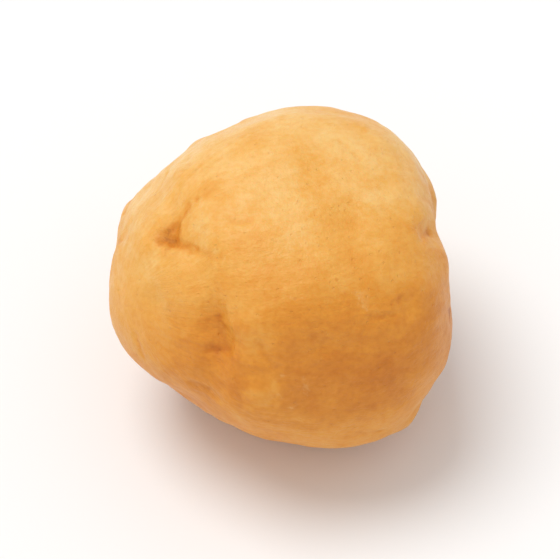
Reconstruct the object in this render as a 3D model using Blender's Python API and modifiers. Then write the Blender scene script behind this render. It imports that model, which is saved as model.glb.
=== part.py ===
"""One shelled, roasted macadamia kernel, lying on its side on a small flat spot.

The kernel is a single natural solid. Its body is a ball pressed into soft flats, the way a kernel
grows against the inside of its shell. The beak, the end where the seed would sprout, swells out
of the -X side inside a shallow collar, and a pit lies in that collar, above the beak. The
opposite, +X side is the broad base, where the seed hung in its shell. A plane cut makes the
resting spot.

Frame: metres, +Z up, the origin on the surface it rests on, under the middle of its outline.
"""

import math

import bmesh
import bpy
from mathutils import Vector

MM = 0.001

# --- driving dimensions -------------------------------------------------------------------------
BODY_RADIUS = 10.0 * MM  # the ball before any side is pressed flat
FLAT_HARDNESS = 12.0  # higher gives a crisper edge between two neighbouring flats
BODY_MIDDLE = Vector((0.74, -0.26, 8.62)) * MM  # sets how deep the resting spot's plane cuts

# Each flat: the direction that it faces (azimuth from +X, elevation above level, in degrees) and
# its distance from the body's middle.
FLATS = {
    "crown": (309, 76, 9.2 * MM),
    "front": (282, 21, 9.3 * MM),
    "left_cheek": (229, 23, 9.5 * MM),
    "base": (7, 6, 8.3 * MM),
    "upper_left": (124, 32, 9.7 * MM),
    "lower_left": (232, -31, 8.3 * MM),
    "lower_front": (263, -38, 8.6 * MM),
    "lower_right": (333, -19, 9.6 * MM),
    "back_right": (60, -18, 9.4 * MM),
    "back_left": (150, -22, 9.0 * MM),
    "under": (0, -90, 9.0 * MM),
}

# The beak swells round its own direction. The collar's valley runs round the beak at its reach.
BEAK_FACES = (202, 15)
BEAK_REACH = math.radians(38)
BEAK_HEIGHT = 0.22 * MM
COLLAR_WIDTH = math.radians(6.5)
COLLAR_DEPTH = 0.22 * MM

# Hollows near the collar: the direction of each, its depth, and the angle over which it fades.
HOLLOWS = {
    "shoot_pit": (200, 45, 0.35 * MM, math.radians(5)),
    "collar_dent": (242, 32, 0.22 * MM, math.radians(7)),
}

CAGE_CELLS = 13  # cells along each side of the cube that is blown up into the body
SMOOTHING_LEVELS = 1


def facing(azimuth, elevation):
    """The unit vector at an azimuth from +X and an elevation above level, both in degrees."""
    turn, rise = math.radians(azimuth), math.radians(elevation)
    return Vector((math.cos(rise) * math.cos(turn), math.cos(rise) * math.sin(turn), math.sin(rise)))


def fade(angle, width):
    """A bell curve: 1 at angle 0, and almost 0 beyond twice the width."""
    return math.exp(-((angle / width) ** 2))


def pressed_ball(direction):
    """How far the surface of the ball lies from its middle, with every flat pressed into it."""
    total = BODY_RADIUS**-FLAT_HARDNESS
    for azimuth, elevation, distance in FLATS.values():
        towards = max(direction.dot(facing(azimuth, elevation)), 0.0)
        total += (towards / distance) ** FLAT_HARDNESS
    return total ** (-1 / FLAT_HARDNESS)


def beak_and_collar(direction):
    """The beak's swelling, less the valley of the collar at its foot."""
    away = direction.angle(facing(*BEAK_FACES))
    swelling = BEAK_HEIGHT * fade(away, 0.75 * BEAK_REACH)
    return swelling - COLLAR_DEPTH * fade(away - BEAK_REACH, COLLAR_WIDTH)


def hollows(direction):
    """The depth of the small hollows in this direction."""
    depth = 0.0
    for azimuth, elevation, deepest, width in HOLLOWS.values():
        depth += deepest * fade(direction.angle(facing(azimuth, elevation)), width)
    return depth


def surface_point(direction):
    reach = pressed_ball(direction) + beak_and_collar(direction) - hollows(direction)
    return BODY_MIDDLE + reach * direction


def kernel_cage():
    """A cube's grid blown up into the kernel. The tangent keeps its cells nearly even all round."""
    bm = bmesh.new()
    bmesh.ops.create_cube(bm, size=2)
    bmesh.ops.subdivide_edges(bm, edges=bm.edges[:], cuts=CAGE_CELLS - 1, use_grid_fill=True)
    for vert in bm.verts:
        even = Vector([math.tan(side * math.pi / 4) for side in vert.co])
        vert.co = surface_point(even.normalized())
    mesh = bpy.data.meshes.new("kernel")
    bm.to_mesh(mesh)
    bm.free()
    mesh.shade_smooth()
    return mesh


def ground_block():
    """A block whose top is the plane z = 0. What it takes off the kernel is the resting spot."""
    side = 3 * BODY_RADIUS
    bm = bmesh.new()
    bmesh.ops.create_cube(bm, size=side)
    bmesh.ops.translate(bm, verts=bm.verts[:], vec=(0, 0, -side / 2))
    mesh = bpy.data.meshes.new("ground_block")
    bm.to_mesh(mesh)
    bm.free()
    return mesh


def roasted_kernel():
    """Warm golden flesh with a satin skin."""
    material = bpy.data.materials.new("roasted_kernel")
    material.use_nodes = True
    shader = material.node_tree.nodes["Principled BSDF"]
    shader.inputs["Base Color"].default_value = (0.80, 0.39, 0.09, 1)
    shader.inputs["Roughness"].default_value = 0.5
    shader.inputs["Metallic"].default_value = 0.0
    return material


def new_collection(name):
    collection = bpy.data.collections.new(name)
    bpy.context.scene.collection.children.link(collection)
    return collection


def main():
    for obj in list(bpy.data.objects):
        bpy.data.objects.remove(obj)

    cutter = bpy.data.objects.new("ground_block", ground_block())
    cutter.hide_render = True
    cutter.display_type = "WIRE"
    new_collection("cutters").objects.link(cutter)

    kernel = bpy.data.objects.new("kernel", kernel_cage())
    kernel.data.materials.append(roasted_kernel())
    new_collection("macadamia_kernel").objects.link(kernel)

    smoothing = kernel.modifiers.new("soft_skin", "SUBSURF")
    smoothing.levels = smoothing.render_levels = SMOOTHING_LEVELS

    resting_spot = kernel.modifiers.new("resting_spot", "BOOLEAN")
    resting_spot.operation = "DIFFERENCE"
    resting_spot.object = cutter


main()
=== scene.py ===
"""The looks of one shelled, roasted macadamia kernel, lying on a pale floor in soft daylight.

The kernel's flesh is blown up from a cube, drawn in onto the CAD solid, and then worked by hand:
the collar round the beak is pressed in, the pit is pinched, and dents, swellings, folds and nicks
are pushed into the skin. Its finish is one procedural material in the kernel's own space.
"""

import math

import bpy
import numpy as np
from mathutils import Matrix, Vector


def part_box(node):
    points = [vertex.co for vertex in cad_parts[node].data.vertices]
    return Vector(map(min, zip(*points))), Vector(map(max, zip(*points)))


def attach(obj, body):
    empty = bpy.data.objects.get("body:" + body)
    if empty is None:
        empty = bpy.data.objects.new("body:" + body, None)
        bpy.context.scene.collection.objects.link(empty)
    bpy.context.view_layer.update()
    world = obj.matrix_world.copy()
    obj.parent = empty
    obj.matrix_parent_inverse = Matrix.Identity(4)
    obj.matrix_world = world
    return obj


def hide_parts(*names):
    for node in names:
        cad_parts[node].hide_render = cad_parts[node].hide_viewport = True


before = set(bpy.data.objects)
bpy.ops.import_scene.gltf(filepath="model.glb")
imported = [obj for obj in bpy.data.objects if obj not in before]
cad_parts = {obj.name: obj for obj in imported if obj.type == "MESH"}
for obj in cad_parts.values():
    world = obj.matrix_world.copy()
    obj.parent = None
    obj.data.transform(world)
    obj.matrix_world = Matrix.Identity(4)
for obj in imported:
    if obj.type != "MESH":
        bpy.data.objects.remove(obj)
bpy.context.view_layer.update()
low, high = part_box("kernel")

MM = 0.001
MIDDLE = (low + high) / 2
SKIN_RADIUS = 9.2  # about how far the skin is from the middle, in mm
OUTSIDE = 50 * MM  # a distance from the middle that is well clear of the skin

# --- the kernel's landmarks, as azimuth from +X and elevation above level, in degrees -----------
BEAK = (202, 15)
PIT = (200, 46)
BASE = (7, 6)
COLLAR_CREASE = [
    (160, 36), (168, 44), (178, 50), (188, 52), (195, 50), (200, 46), (208, 47), (218, 50),
    (228, 48), (236, 42), (241, 35), (245, 27), (247, 18), (246, 8), (241, -3), (233, -12),
]
SHARPEST_COLLAR = COLLAR_CREASE[3:13]
DENT_BELOW_PIT = [(241, 37), (247, 22)]
FOLD_IN_DENT = [(243, 34), (247, 25)]
NOTCH_BY_BASE = [(347, 39), (355, 31), (5, 20), (14, 9), (18, 1)]
BACK_CREASE = [(158, 22), (147, 15), (133, 12), (115, 11), (96, 14), (78, 13)]
PIT_FLOOR = [(198, 44), (201, 46), (199, 48)]
CLEFT = [(197, 49), (193, 57)]
CLEFT_END = (192, 61)
# The line where the two halves of the kernel meet.
SEAM_BY_PIT = [(201, 45), (207, 47), (218, 51), (234, 54)]
SEAM_ON_TOP = [(251, 56), (272, 57), (290, 56), (312, 51), (332, 43), (345, 38), (353, 34)]
SEAM_TO_BASE = [(353, 34), (0, 25), (8, 16), (13, 8), (12, 0)]
SEAM_BELOW = [
    (12, 0), (5, -13), (352, -32), (325, -52), (275, -60), (240, -50), (222, -30), (211, -10),
]
NICKS = [
    ((262, 30), (268, 22)), ((306, 33), (313, 30)), ((228, 66), (240, 69)), ((338, 12), (341, 5)),
    ((150, 50), (158, 56)), ((96, 36), (103, 30)), ((60, 8), (63, 0)), ((212, 8), (217, 2)),
    ((20, 62), (40, 64)), ((180, 22), (176, 14)), ((128, -5), (134, -12)),
    ((296, -12), (303, -15)),
]

# --- mesh ---------------------------------------------------------------------------------------
CAGE_CELLS = 32  # cells along each side of the cube that is blown up
CAGE_SIZE = 1.2  # the cube's side, as a share of the kernel's box from corner to corner
# Each swelling and each dent: how far it goes, how far it spreads (both in mm), and where.
SWELLINGS = [
    (0.44, 2.4, [(160, 15)]),
    (0.34, 1.7, [(25, 16)]),
    (0.27, 1.6, [(319, -27)]),
    (0.16, 1.8, [(214, 60), (254, 36), (100, 20), (350, 22)]),
    (0.13, 1.2, [(195, 36), (263, 12), (128, 34)]),
    (0.16, 2.2, [(262, -20), (332, -2), (92, -22), (200, -28), (30, -22)]),
    (0.08, 2.2, [(328, 26), (300, 6), (285, 68), (120, 44), (75, -10), (40, 48), (170, -10)]),
]
DENTS = [
    (0.42, 2.2, [(111, 36)]),
    (0.20, 2.2, [(278, -38)]),
    (0.32, 1.5, [(139, 26)]),
    (0.24, 1.5, [(42, 30)]),
    (0.14, 1.7, [(248, -36), (341, -14)]),
    (0.10, 2.8, [(64, 36), (90, 40)]),
    (0.16, 2.1, [(296, -12), (226, -24), (64, -16), (160, -24), (116, 2)]),
    (0.12, 1.2, [(353, 34), (60, 22)]),
    (0.08, 1.3, [(31, 80), (186, 73), (332, 63), (320, -20), (100, -25), (70, 55)]),
    (0.07, 1.9, [(290, 25), (40, 20), (225, -10)]),
]
# Each fold: the end it runs out from, its bearing round that end, and where it starts and stops,
# as angles from that end.
DEEP_FOLDS = [
    (BEAK, 20, 37, 47), (BEAK, 47, 38, 46), (BEAK, 165, 40, 47), (BEAK, 200, 36, 46),
    (BEAK, 232, 38, 50), (BEAK, 268, 37, 45), (BEAK, 305, 36, 47), (BEAK, 335, 38, 46),
    (BASE, 10, 24, 33), (BASE, 118, 22, 29), (BASE, 215, 22, 30), (BASE, 262, 23, 38),
    (BASE, 318, 24, 33),
]
SHALLOW_FOLDS = [
    (BEAK, 66, 40, 52), (BEAK, 110, 36, 44), (BEAK, 140, 38, 50), (BEAK, 182, 36, 50),
    (BEAK, 250, 40, 55), (BEAK, 285, 38, 52), (BASE, 35, 26, 40), (BASE, 55, 23, 37),
    (BASE, 92, 24, 38), (BASE, 145, 26, 36), (BASE, 170, 23, 36), (BASE, 240, 25, 42),
    (BASE, 290, 24, 40), (BASE, 342, 25, 40),
]
FOLD_STEPS = 10
FOLD_CURL = 0.4  # how far a fold's bearing turns for each degree that it runs outwards
GRAIN_STRETCH = 3.5  # how much longer than wide the furrows are

# --- finish, in linear colour -------------------------------------------------------------------
CREAM = (0.90, 0.64, 0.29, 1)
PALE_GOLD = (0.88, 0.52, 0.165, 1)
GOLD = (0.83, 0.405, 0.076, 1)
AMBER = (0.76, 0.295, 0.028, 1)
TOAST = (0.62, 0.195, 0.012, 1)
DARK_TOAST = (0.46, 0.125, 0.007, 1)
PIT_BROWN = (0.36, 0.10, 0.007, 1)
WARM_WHITE = (0.9, 0.9, 0.895, 1)
ROAST_COLOURS = [
    (0.0, CREAM), (0.24, PALE_GOLD), (0.4, GOLD), (0.6, AMBER), (0.8, TOAST), (1.0, DARK_TOAST),
]
ROAST_TO_RAMP = 0.8  # leaves the darkest brown for a roast above 1
# Painted light and shade: the roast is painted paler on the lit top and back and browner on the
# shaded lower front.
PAINTED_LIT_SIDE = Vector((-0.18, 0.65, 0.74))  # painted light: the side the light falls on, painted paler
PAINTED_LIT_SIDE_ROAST = 0.38
PAINTED_SHADED_SIDE_ROAST = 0.88
# Where the roast differs from its surroundings: azimuth, elevation, reach in mm, and how much.
ROAST_SPOTS = [
    (253, 19, 2.7, 0.17), (241, 31, 1.7, 0.13), (329, 26, 2.2, 0.11), (300, 7, 3.4, 0.11),
    (186, 73, 1.7, 0.11), (350, 79, 1.6, 0.08), (332, 63, 1.6, 0.04), (282, 36, 2.0, 0.02),
    (120, 30, 2.6, 0.14), (75, 10, 2.3, 0.11), (150, -10, 2.6, 0.12), (40, -20, 2.4, 0.10),
    (62, 36, 1.9, 0.12), (20, 30, 1.7, 0.09), (230, -30, 2.6, 0.09), (182, 8, 2.0, 0.10),
    (243, 56, 3.5, 0.13), (236, 70, 2.6, 0.08), (353, 69, 2.4, -0.09), (342, 54, 2.3, -0.09),
    (325, 39, 1.7, -0.11), (256, 38, 1.5, -0.07), (265, 12, 1.2, -0.18), (203, 29, 1.9, -0.08),
    (95, 52, 2.2, -0.10), (168, 30, 1.8, -0.09), (110, -8, 2.0, -0.09), (345, -8, 1.9, -0.08),
]
# Where a mark begins and where it is at its strongest, in mm from the pit or from the base.
PIT_STAIN = (1.25, 0.35)
PIT_HEART = (0.55, 0.1)
SCAR = (4.4, 2.6)
RIM_FROM_INSIDE = (2.3, 3.3)
RIM_FROM_OUTSIDE = (4.3, 3.3)
# How much each mark changes what is under it.
PIT_DARKENING = 0.6
SCAR_BROWNING = 0.05
RIM_BROWNING = 0.07
FRECKLE_DARKENING = 0.5
SCUFF_PALENESS = 0.28
SCUFF_ROUGHNESS = 0.14
SCAR_ROUGHNESS = 0.12
PIT_ROUGHNESS = 0.25
PORE_RELIEF = 0.3
# The veins run from the beak to the base.
VEIN_DENSITY = (1.5, 1.5, 0.35)  # closer together across the kernel than along it
VEIN_WANDER = 1.6  # mm, from one extreme to the other
RING_RADIUS = 9.0  # mm, about that of the kernel where it is widest
VEINS_FADE_IN = (0.6, 4.0)  # mm from the line through the beak and the base
PATCH_RAGGEDNESS = 5.0  # mm, from one extreme to the other

# --- stage --------------------------------------------------------------------------------------
LENS_MM = 300
SENSOR_MM = 36
FRAME_WIDTH = 30 * MM  # how much of the scene the frame takes in, across the kernel
CAMERA_ELEVATION = 52
FLOOR_RADIUS = 6


def facing(azimuth, elevation):
    """The unit vector at an azimuth from +X and an elevation above level, both in degrees."""
    turn, rise = math.radians(azimuth), math.radians(elevation)
    return Vector((math.cos(rise) * math.cos(turn), math.cos(rise) * math.sin(turn), math.sin(rise)))


def turn_to(direction):
    """The turn that points +Z in a direction."""
    return direction.to_track_quat("Z", "Y").to_euler()


# ------------------------------------------------------------------------------------------------
# Modelling
# ------------------------------------------------------------------------------------------------


def blown_up_cube(name):
    """A cube cut into even cells, drawn out to a ball that clears the CAD kernel all round."""
    bpy.ops.object.select_all(action="DESELECT")
    bpy.ops.mesh.primitive_cube_add(size=CAGE_SIZE * (high - low).length, location=MIDDLE)
    piece = bpy.context.object
    piece.name = piece.data.name = name
    bpy.ops.object.mode_set(mode="EDIT")
    bpy.ops.mesh.select_all(action="SELECT")
    bpy.ops.mesh.subdivide(number_cuts=CAGE_CELLS - 1)
    bpy.ops.transform.tosphere(value=1)
    bpy.ops.object.mode_set(mode="OBJECT")
    bpy.ops.object.transform_apply(location=True, rotation=True, scale=True)
    return piece


def apply_modifier(piece, name, kind, **settings):
    modifier = piece.modifiers.new(name, kind)
    for setting, value in settings.items():
        setattr(modifier, setting, value)
    bpy.context.view_layer.objects.active = piece
    bpy.ops.object.modifier_apply(modifier=modifier.name)


def draw_in_onto_cad(piece):
    apply_modifier(
        piece, "drawn_in", "SHRINKWRAP",
        target=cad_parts["kernel"], wrap_method="PROJECT",
        use_negative_direction=True, use_positive_direction=False,
    )


def subdivide_smoothly(piece, levels):
    apply_modifier(piece, "soft_skin", "SUBSURF", levels=levels, render_levels=levels)


def vertex_places(piece):
    places = np.empty(3 * len(piece.data.vertices), np.float32)
    piece.data.vertices.foreach_get("co", places)
    return places.reshape(-1, 3)


def select_vertices(piece, chosen):
    """Selects the vertices whose entry in chosen is true, and nothing else."""
    mesh = piece.data
    mesh.edges.foreach_set("select", np.zeros(len(mesh.edges), bool))
    mesh.polygons.foreach_set("select", np.zeros(len(mesh.polygons), bool))
    mesh.vertices.foreach_set("select", chosen)


def skin_point(piece, azimuth, elevation):
    """The point of the skin that lies in a direction from the kernel's middle."""
    towards = facing(azimuth, elevation)
    return piece.ray_cast(MIDDLE + towards * OUTSIDE, -towards)[1]


def push_skin(piece, routes, depth, width):
    """Pushes the skin in along routes of azimuths and elevations, with soft sides.

    depth is how far it goes in, in mm, or out where it is negative. width is how far the push
    spreads from a route, in mm.
    """
    places = vertex_places(piece)
    chosen = np.zeros(len(places), bool)
    for route in routes:
        for azimuth, elevation in route:
            away = np.linalg.norm(places - np.array(skin_point(piece, azimuth, elevation)), axis=1)
            chosen[np.argmin(away)] = True
    select_vertices(piece, chosen)
    bpy.context.view_layer.objects.active = piece
    bpy.ops.object.mode_set(mode="EDIT")
    bpy.ops.transform.shrink_fatten(
        value=-depth * MM, use_proportional_edit=True,
        proportional_edit_falloff="SMOOTH", proportional_size=width * MM,
    )
    bpy.ops.object.mode_set(mode="OBJECT")


def line(corners, steps=10):
    """Directions spaced closely along a line through the given ones, so that a push has no gaps."""
    route = []
    for start, end in zip(corners, corners[1:]):
        for step in range(steps):
            route.append(tuple(a + (b - a) * step / steps for a, b in zip(start, end)))
    return route + [corners[-1]]


def off(middle, reach, bearing):
    """The azimuth and elevation at an angle, reach, from a direction, at a bearing round it."""
    axis = facing(*middle)
    side = Matrix.Rotation(math.radians(bearing), 3, axis) @ axis.orthogonal().normalized()
    towards = axis * math.cos(math.radians(reach)) + side * math.sin(math.radians(reach))
    return math.degrees(math.atan2(towards.y, towards.x)), math.degrees(math.asin(towards.z))


def around(middle, reach, steps=60):
    """Azimuths and elevations on the circle at an angle, reach, all round a direction."""
    return [off(middle, reach, 360 * step / (steps - 1)) for step in range(steps)]


def fold(middle, bearing, start, end):
    """The route of a short fold that runs out from one end of the kernel, curling as it goes."""
    reaches = [start + (end - start) * step / (FOLD_STEPS - 1) for step in range(FOLD_STEPS)]
    return [off(middle, reach, bearing + FOLD_CURL * reach) for reach in reaches]


def press_big_features(piece):
    """The valley of the collar, then the dents and swellings that each catch the light."""
    push_skin(piece, [line(COLLAR_CREASE)], depth=0.13, width=1.5)
    push_skin(piece, [line(SHARPEST_COLLAR)], depth=0.09, width=0.9)
    push_skin(piece, [line(DENT_BELOW_PIT)], depth=0.17, width=1.1)
    push_skin(piece, [line(BACK_CREASE)], depth=0.12, width=1.2)
    push_skin(piece, [line(NOTCH_BY_BASE)], depth=0.15, width=1.0)
    for rise, width, places in SWELLINGS:
        push_skin(piece, [[place] for place in places], -rise, width)
    for depth, width, places in DENTS:
        push_skin(piece, [[place] for place in places], depth, width)


def press_base(piece):
    """The scar where the seed hung: a shallow dish with a low rim."""
    push_skin(piece, [around(BASE, 21)], depth=0.05, width=0.8)
    push_skin(piece, [around(BASE, 26)], depth=-0.05, width=0.9)
    push_skin(piece, [[BASE]], depth=0.16, width=2.6)


def press_fine_features(piece):
    """The pit with its cleft, the seam between the halves, and nicks from the shelling."""
    push_skin(piece, [PIT_FLOOR], depth=0.22, width=0.75)
    push_skin(piece, [line(CLEFT)], depth=0.12, width=0.45)
    push_skin(piece, [[CLEFT_END]], depth=0.12, width=0.35)
    seam = [line(SEAM_BY_PIT), line(SEAM_TO_BASE), line(SEAM_BELOW)]
    push_skin(piece, seam, depth=0.06, width=0.45)
    push_skin(piece, [line(SEAM_BY_PIT[:3]), line(FOLD_IN_DENT)], depth=0.06, width=0.4)
    push_skin(piece, [line(SEAM_ON_TOP)], depth=0.02, width=0.45)
    push_skin(piece, [line(SEAM_ON_TOP[-2:])], depth=0.03, width=0.4)
    push_skin(piece, [line(nick) for nick in NICKS], depth=0.075, width=0.4)


def wrinkle_ends(piece):
    """Short folds that run out of the collar and out of the rim of the base."""
    push_skin(piece, [fold(*place) for place in DEEP_FOLDS], depth=0.085, width=0.5)
    push_skin(piece, [fold(*place) for place in SHALLOW_FOLDS], depth=0.04, width=0.6)


def note_hollows(piece, smooth_places):
    """Keeps how far each point was pressed in, in mm, for the finish to darken as painted shade in
    the creases.
    """
    pressed = smooth_places - vertex_places(piece)
    normals = np.empty(3 * len(piece.data.vertices), np.float32)
    piece.data.vertices.foreach_get("normal", normals)
    inward = np.sum(pressed * normals.reshape(-1, 3), axis=1) / MM
    piece.data.attributes.new("hollow", "FLOAT", "POINT").data.foreach_set("value", inward)


def roughen_skin(piece):
    """Uneven lumps and dimples all over, and faint furrows that run from the beak to the base."""
    bpy.ops.object.empty_add(location=MIDDLE, rotation=turn_to(facing(*BEAK)))
    grain_guide = bpy.context.object
    grain_guide.scale = (1, 1, GRAIN_STRETCH)
    bpy.context.view_layer.update()
    along_grain = {"texture_coords": "OBJECT", "texture_coords_object": grain_guide}
    all_over = {"texture_coords": "LOCAL"}
    # Each one's name, size in mm, layers of detail, height in mm and coordinates.
    for name, size, layers, height, coordinates in (
        ("lumps", 3.4, 1, 0.28, all_over),
        ("dimples", 1.5, 1, 0.09, all_over),
        ("furrows", 0.9, 2, 0.08, along_grain),
    ):
        texture = bpy.data.textures.new(name, "CLOUDS")
        texture.noise_scale = size * MM
        texture.noise_depth = layers
        apply_modifier(
            piece, name, "DISPLACE",
            texture=texture, strength=height * MM, mid_level=0.5, **coordinates,
        )
    bpy.data.objects.remove(grain_guide)


def flatten_resting_spot(piece):
    """Whatever the shaping pushed through the floor is brought back up to it."""
    select_vertices(piece, vertex_places(piece)[:, 2] < 0)
    bpy.context.view_layer.objects.active = piece
    bpy.ops.object.mode_set(mode="EDIT")
    bpy.ops.transform.resize(value=(1, 1, 0), center_override=(0, 0, 0))
    bpy.ops.object.mode_set(mode="OBJECT")


def kernel_flesh():
    piece = blown_up_cube("kernel_flesh")
    draw_in_onto_cad(piece)
    subdivide_smoothly(piece, 1)
    press_big_features(piece)
    press_base(piece)
    subdivide_smoothly(piece, 1)
    smooth_places = vertex_places(piece)
    press_fine_features(piece)
    wrinkle_ends(piece)
    note_hollows(piece, smooth_places)
    roughen_skin(piece)
    flatten_resting_spot(piece)
    piece.data.shade_smooth()
    return piece


# ------------------------------------------------------------------------------------------------
# Finish
# ------------------------------------------------------------------------------------------------


class Finish:
    """A material's nodes, with a short call for each kind that the finishes use."""

    def __init__(self, name):
        self.material = bpy.data.materials.new(name)
        self.material.use_nodes = True
        self.tree = self.material.node_tree
        self.shader = self.tree.nodes["Principled BSDF"]

    def node(self, kind, settings=None, **inputs):
        node = self.tree.nodes.new(kind)
        for name, value in (settings or {}).items():
            setattr(node, name, value)
        for name, value in inputs.items():
            self.feed(node.inputs[name.replace("_", " ")], value)
        return node

    def feed(self, socket, value):
        if isinstance(value, bpy.types.NodeSocket):
            self.tree.links.new(value, socket)
        else:
            socket.default_value = value

    def math(self, operation, *values):
        node = self.node("ShaderNodeMath", {"operation": operation})
        for socket, value in zip(node.inputs, values):
            self.feed(socket, value)
        return node.outputs[0]

    def times(self, first, second):
        return self.math("MULTIPLY", first, second)

    def total(self, *values):
        result = values[0]
        for value in values[1:]:
            result = self.math("ADD", result, value)
        return result

    def vector_math(self, operation, *values):
        node = self.node("ShaderNodeVectorMath", {"operation": operation})
        sockets = [node.inputs[0], node.inputs["Scale"]] if operation == "SCALE" else node.inputs
        for socket, value in zip(sockets, values):
            self.feed(socket, value)
        gives_number = operation in ("DOT_PRODUCT", "LENGTH", "DISTANCE")
        return node.outputs["Value" if gives_number else "Vector"]

    def spread(self, value, start, end, to_start=0.0, to_end=1.0):
        """to_start where value is at start, to_end where it is at end, and eased between them."""
        node = self.node("ShaderNodeMapRange", {"interpolation_type": "SMOOTHSTEP"}, Value=value)
        names = ("From Min", "From Max", "To Min", "To Max")
        for name, number in zip(names, (start, end, to_start, to_end)):
            node.inputs[name].default_value = number
        return node.outputs[0]

    def sway(self, noise, least, most):
        """Spreads a noise, nearly all of which lies between 0.3 and 0.7, from least to most."""
        return self.spread(noise, 0.3, 0.7, least, most)

    def noise(self, vector, scale, detail, roughness=0.5, distortion=0.0, output="Fac"):
        node = self.node(
            "ShaderNodeTexNoise",
            Vector=vector, Scale=scale, Detail=detail, Roughness=roughness, Distortion=distortion,
        )
        return node.outputs[output]

    def voronoi(self, vector, scale):
        return self.node("ShaderNodeTexVoronoi", Vector=vector, Scale=scale)

    def ramp(self, value, stops):
        node = self.node("ShaderNodeValToRGB", Fac=value)
        elements = node.color_ramp.elements
        while len(elements) < len(stops):
            elements.new(0.5)
        for element, (position, colour) in zip(elements, stops):
            element.position = position
            element.color = colour
        return node.outputs["Color"]

    def mix(self, share, start, end):
        node = self.node("ShaderNodeMix", {"data_type": "RGBA"})
        colours = [socket for socket in node.inputs if socket.type == "RGBA"]
        self.feed(node.inputs["Factor"], share)
        self.feed(colours[0], start)
        self.feed(colours[1], end)
        return [socket for socket in node.outputs if socket.type == "RGBA"][0]


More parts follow.
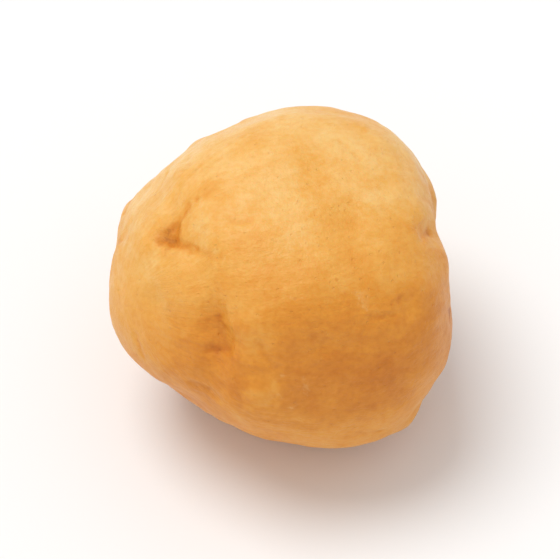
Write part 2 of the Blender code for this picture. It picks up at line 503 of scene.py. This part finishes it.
class Flesh(Finish):
    """Roasted flesh. A pattern that its colour, its gloss and its relief share is made once."""

    def __init__(self):
        super().__init__("roasted_flesh")
        self.place = self.mm_from_middle()
        self.along_beak = self.mm_from_middle(turn_to(facing(*BEAK)))
        self.drift = self.noise(self.place, 0.45, 3, output="Color")
        wobble = self.vector_math("SUBTRACT", self.drift, (0.5, 0.5, 0.5))
        wobble = self.vector_math("SCALE", wobble, PATCH_RAGGEDNESS)
        self.ragged_place = self.vector_math("ADD", self.place, wobble)
        self.mottle = self.noise(self.place, 0.6, 3, 0.55, 0.6)
        self.flat_along_beak = self.vector_math("MULTIPLY", self.along_beak, (1, 1, 0))
        self.off_axis = self.vector_math("LENGTH", self.flat_along_beak)
        self.streaks = self.beak_to_base()
        self.from_base = self.away_from(BASE, self.ragged_place)
        self.scar = self.spread(self.from_base, *SCAR)
        pit_edge = self.sway(self.noise(self.place, 1.6, 3, 0.6), -0.45, 0.45)
        self.from_pit = self.total(self.away_from(PIT, self.place), pit_edge)
        self.scuffs = self.spread(self.noise(self.place, 0.42, 5, 0.65, 1.2), 0.62, 0.74)

    def mm_from_middle(self, turn=(0, 0, 0)):
        """Where a point is, in mm from the kernel's middle, along axes with the given turn."""
        where = self.node("ShaderNodeTexCoord").outputs["Object"]
        mapping = self.node(
            "ShaderNodeMapping", {"vector_type": "TEXTURE"},
            Vector=where, Location=MIDDLE, Rotation=turn, Scale=(MM, MM, MM),
        )
        return mapping.outputs[0]

    def away_from(self, spot, place):
        """How far place is, in mm, from a spot of the skin, an azimuth and an elevation."""
        return self.vector_math("DISTANCE", place, (facing(*spot) * SKIN_RADIUS)[:])

    def beak_to_base(self):
        """Coordinates whose noise draws out into streaks from the beak to the base."""
        ring = self.vector_math("NORMALIZE", self.flat_along_beak)
        ring = self.vector_math("SCALE", ring, RING_RADIUS)
        along = self.node("ShaderNodeSeparateXYZ", Vector=self.along_beak).outputs["Z"]
        lengthwise = self.node("ShaderNodeCombineXYZ", Z=along).outputs[0]
        meridian = self.vector_math("ADD", ring, lengthwise)
        wander = self.vector_math("SCALE", self.drift, VEIN_WANDER)
        meridian = self.vector_math("ADD", meridian, wander)
        return self.node("ShaderNodeMapping", Vector=meridian, Scale=VEIN_DENSITY).outputs[0]

    def faded_at_ends(self, most=1.0):
        """A strength for the streaks, which would bunch up at the tip of the beak and the base."""
        return self.spread(self.off_axis, *VEINS_FADE_IN, 0.0, most)

    def roast(self):
        """How strongly the flesh roasted, with painted shade in it: browner on the shaded lower
        front and in the creases. 0 is cream, and 1 is brown.
        """
        outward = self.vector_math("NORMALIZE", self.place)
        painted_lightness = self.vector_math("DOT_PRODUCT", outward, PAINTED_LIT_SIDE.normalized())
        clouds = self.noise(self.place, 0.15, 2, 0.5, 0.5)
        veins = self.noise(self.streaks, 0.8, 5, 0.62, 0.2)
        parts = [
            # painted shade: paler on the lit top, browner towards the lower front where shade falls
            self.spread(painted_lightness, 0.9, -0.75, PAINTED_LIT_SIDE_ROAST, PAINTED_SHADED_SIDE_ROAST),
            # below, the painted shade eases off again
            self.spread(painted_lightness, -0.45, -0.95, 0.0, -0.16),
            self.sway(clouds, -0.09, 0.09),
            self.sway(self.mottle, -0.045, 0.045),
            self.times(self.sway(veins, -0.05, 0.05), self.faded_at_ends()),
        ]
        for azimuth, elevation, reach, change in ROAST_SPOTS:
            away = self.away_from((azimuth, elevation), self.ragged_place)
            parts.append(self.spread(away, reach, 0.0, 0.0, change))
        parts += [self.base_browning(), self.rim_browning(), self.stipple(), self.crease_painted_shade()]
        return self.total(*parts)

    def base_browning(self):
        return self.times(self.scar, SCAR_BROWNING)

    def rim_browning(self):
        inner = self.spread(self.from_base, *RIM_FROM_INSIDE)
        outer = self.spread(self.from_base, *RIM_FROM_OUTSIDE)
        return self.times(self.times(inner, outer), RIM_BROWNING)

    def stipple(self):
        """A close stipple of darker pinpricks."""
        return self.spread(self.noise(self.place, 3.2, 2), 0.35, 0.70, -0.02, 0.06)

    def crease_painted_shade(self):
        """Painted shade: the creases are darkened by how deep they are pressed in, more in some
        stretches than in others.
        """
        hollow = self.node("ShaderNodeAttribute", {"attribute_name": "hollow"}).outputs["Fac"]
        unevenly = self.spread(self.mottle, 0.3, 0.6, 0.12, 0.34)
        # painted shade in the creases, darker where they are pressed deeper
        return self.times(self.spread(hollow, 0.01, 0.14), unevenly)

    def freckles(self):
        """Small brown spots, in some places only."""
        cells = self.voronoi(self.place, 0.95)
        spots = self.spread(cells.outputs["Distance"], 0.13, 0.05)
        split = self.node("ShaderNodeSeparateColor", Color=cells.outputs["Color"])
        return self.times(spots, self.spread(split.outputs["Red"], 0.62, 0.72))

    def colour(self):
        colour = self.ramp(self.times(self.roast(), ROAST_TO_RAMP), ROAST_COLOURS)
        pit_stain = self.spread(self.from_pit, *PIT_STAIN, 0.0, PIT_DARKENING)
        pit_heart = self.spread(self.from_pit, *PIT_HEART, 0.0, PIT_DARKENING)
        colour = self.mix(self.times(self.freckles(), FRECKLE_DARKENING), colour, TOAST)
        colour = self.mix(pit_stain, colour, TOAST)
        colour = self.mix(pit_heart, colour, PIT_BROWN)
        return self.mix(self.times(self.scuffs, SCUFF_PALENESS), colour, CREAM)

    def roughness(self):
        return self.total(
            self.sway(self.mottle, 0.35, 0.47),
            self.times(self.scuffs, SCUFF_ROUGHNESS),
            self.times(self.scar, SCAR_ROUGHNESS),
            self.spread(self.from_pit, *PIT_STAIN, 0.0, PIT_ROUGHNESS),
        )

    def relief(self):
        """Grain, fine veins and pores, as heights."""
        grain = self.noise(self.place, 5.0, 4, 0.6)
        fine_veins = self.noise(self.streaks, 2.4, 4, 0.6)
        pores = self.spread(self.voronoi(self.place, 1.9).outputs["Distance"], 0.05, 0.16)
        return self.total(
            self.times(grain, self.spread(self.scar, 0.0, 1.0, 0.5, 1.0)),
            self.times(fine_veins, self.faded_at_ends(0.6)),
            self.times(pores, PORE_RELIEF),
        )


def roasted_flesh():
    flesh = Flesh()
    inputs = flesh.shader.inputs
    flesh.feed(inputs["Base Color"], flesh.colour())
    flesh.feed(inputs["Roughness"], flesh.roughness())
    inputs["Subsurface Weight"].default_value = 0.22
    inputs["Subsurface Radius"].default_value = (1.0, 0.45, 0.18)
    inputs["Subsurface Scale"].default_value = MM
    inputs["IOR"].default_value = 1.45
    inputs["Specular IOR Level"].default_value = 0.4
    bump = flesh.node("ShaderNodeBump", Strength=0.9, Distance=0.12 * MM, Height=flesh.relief())
    flesh.feed(inputs["Normal"], bump.outputs[0])
    return flesh.material


def pale_floor():
    finish = Finish("pale_floor")
    finish.shader.inputs["Base Color"].default_value = WARM_WHITE
    finish.shader.inputs["Roughness"].default_value = 0.8
    return finish.material


# ------------------------------------------------------------------------------------------------
# Stage
# ------------------------------------------------------------------------------------------------


def camera():
    """In front of the kernel and well above it, at a long lens's distance."""
    away = FRAME_WIDTH * LENS_MM / SENSOR_MM
    towards_camera = facing(-90, CAMERA_ELEVATION)
    bpy.ops.object.camera_add(location=MIDDLE + away * towards_camera)
    view = bpy.context.object
    view.rotation_euler = turn_to(towards_camera)
    view.data.lens = LENS_MM
    view.data.sensor_width = SENSOR_MM
    view.data.clip_start = 0.01
    view.data.clip_end = 20
    bpy.context.scene.camera = view


def sun(name, shines_from, strength, width):
    """A far lamp. width is the angle that it spans in the sky, in degrees."""
    bpy.ops.object.light_add(type="SUN")
    lamp = bpy.context.object
    lamp.name = name
    lamp.rotation_euler = turn_to(facing(*shines_from))
    lamp.data.energy = strength
    lamp.data.angle = math.radians(width)


def sky(to_camera, to_surfaces):
    """White all round, brighter where the camera sees it than where it lights the kernel."""
    world = bpy.data.worlds.new("sky")
    bpy.context.scene.world = world
    world.use_nodes = True
    tree = world.node_tree
    background = tree.nodes["Background"]
    seen = tree.nodes.new("ShaderNodeLightPath").outputs["Is Camera Ray"]
    strength = tree.nodes.new("ShaderNodeMapRange")
    tree.links.new(seen, strength.inputs["Value"])
    strength.inputs["To Min"].default_value = to_surfaces
    strength.inputs["To Max"].default_value = to_camera
    tree.links.new(strength.outputs[0], background.inputs["Strength"])
    background.inputs["Color"].default_value = (1, 1, 1, 1)


def floor():
    bpy.ops.mesh.primitive_circle_add(vertices=96, radius=FLOOR_RADIUS, fill_type="NGON")
    ground = bpy.context.object
    ground.name = "floor"
    ground.data.materials.append(pale_floor())


# ------------------------------------------------------------------------------------------------

flesh = kernel_flesh()
flesh.data.materials.append(roasted_flesh())
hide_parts("kernel")
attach(flesh, "root")

camera()
sun("window", shines_from=(165, 72), strength=1.5, width=32)
sky(to_camera=1.0, to_surfaces=0.69)
floor()
bpy.context.scene.view_settings.view_transform = "Standard"
